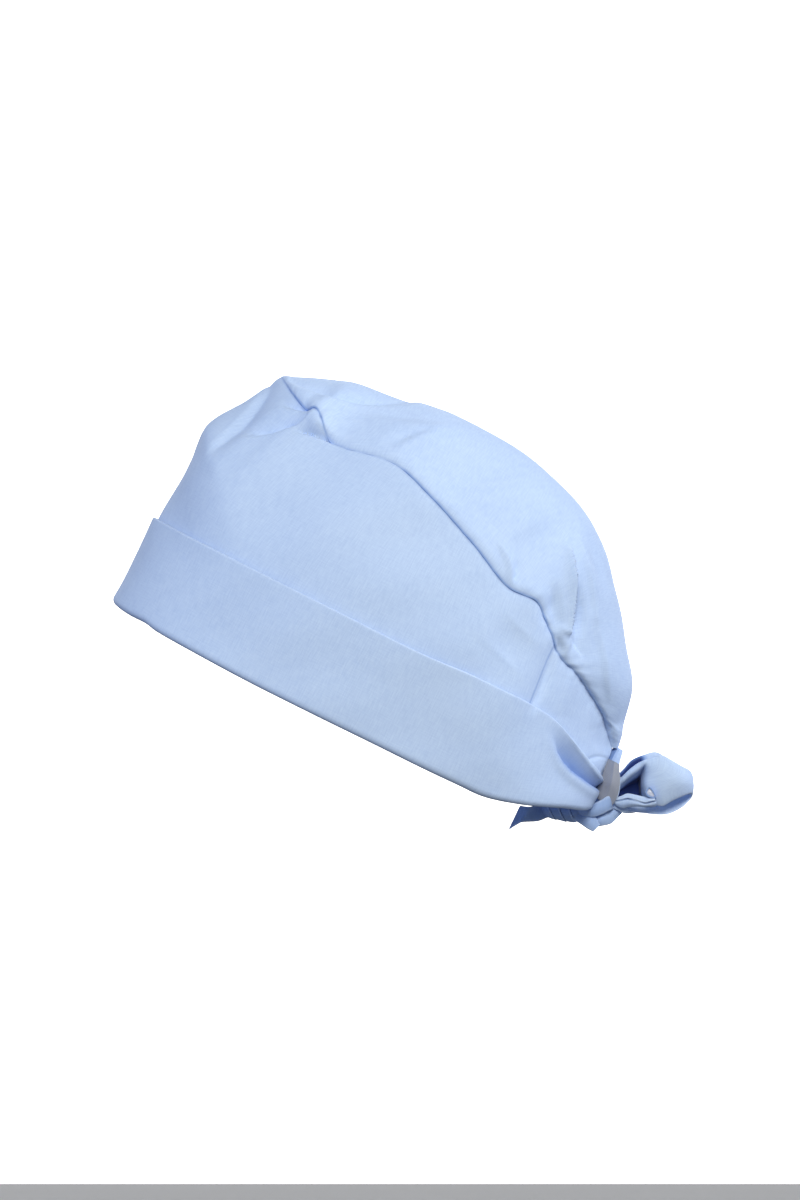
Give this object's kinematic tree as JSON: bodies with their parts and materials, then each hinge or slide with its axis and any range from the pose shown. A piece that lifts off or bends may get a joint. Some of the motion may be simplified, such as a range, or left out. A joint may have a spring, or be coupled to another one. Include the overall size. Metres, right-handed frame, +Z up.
{
  "type": "scrub cap",
  "caption": "Cloth scrub cap as worn: gathered crown, wrap-round side wall, turned-up cuff, rear gussets, and ties drawn through a keeper at the nape and tied in a bow",
  "frame": {"origin": "middle of the head opening, in the plane of the cuff's lower edge, where the cap sits on a head", "axes": "X to the wearer's left, Y from the forehead to the nape, Z up, with the cap tilted as worn: forehead high and nape low by 27.5 degrees"},
  "size_m": [0.158, 0.2279, 0.1807],
  "materials": {
    "light_blue_cotton": "fine cotton blend twill, matt, pressed",
    "grey_woven_label": "plain woven satin label, bare"
  },
  "bodies": {
    "root": {"crown_panel": "light_blue_cotton", "side_panel": "light_blue_cotton", "gusset_left": "light_blue_cotton", "gusset_right": "light_blue_cotton", "cuff": "light_blue_cotton", "keeper": "light_blue_cotton", "label": "grey_woven_label", "bow_loop": "light_blue_cotton", "knot": "light_blue_cotton", "tie_end_back": "light_blue_cotton", "tie_end_front": "light_blue_cotton"}
  },
  "joints": []
}
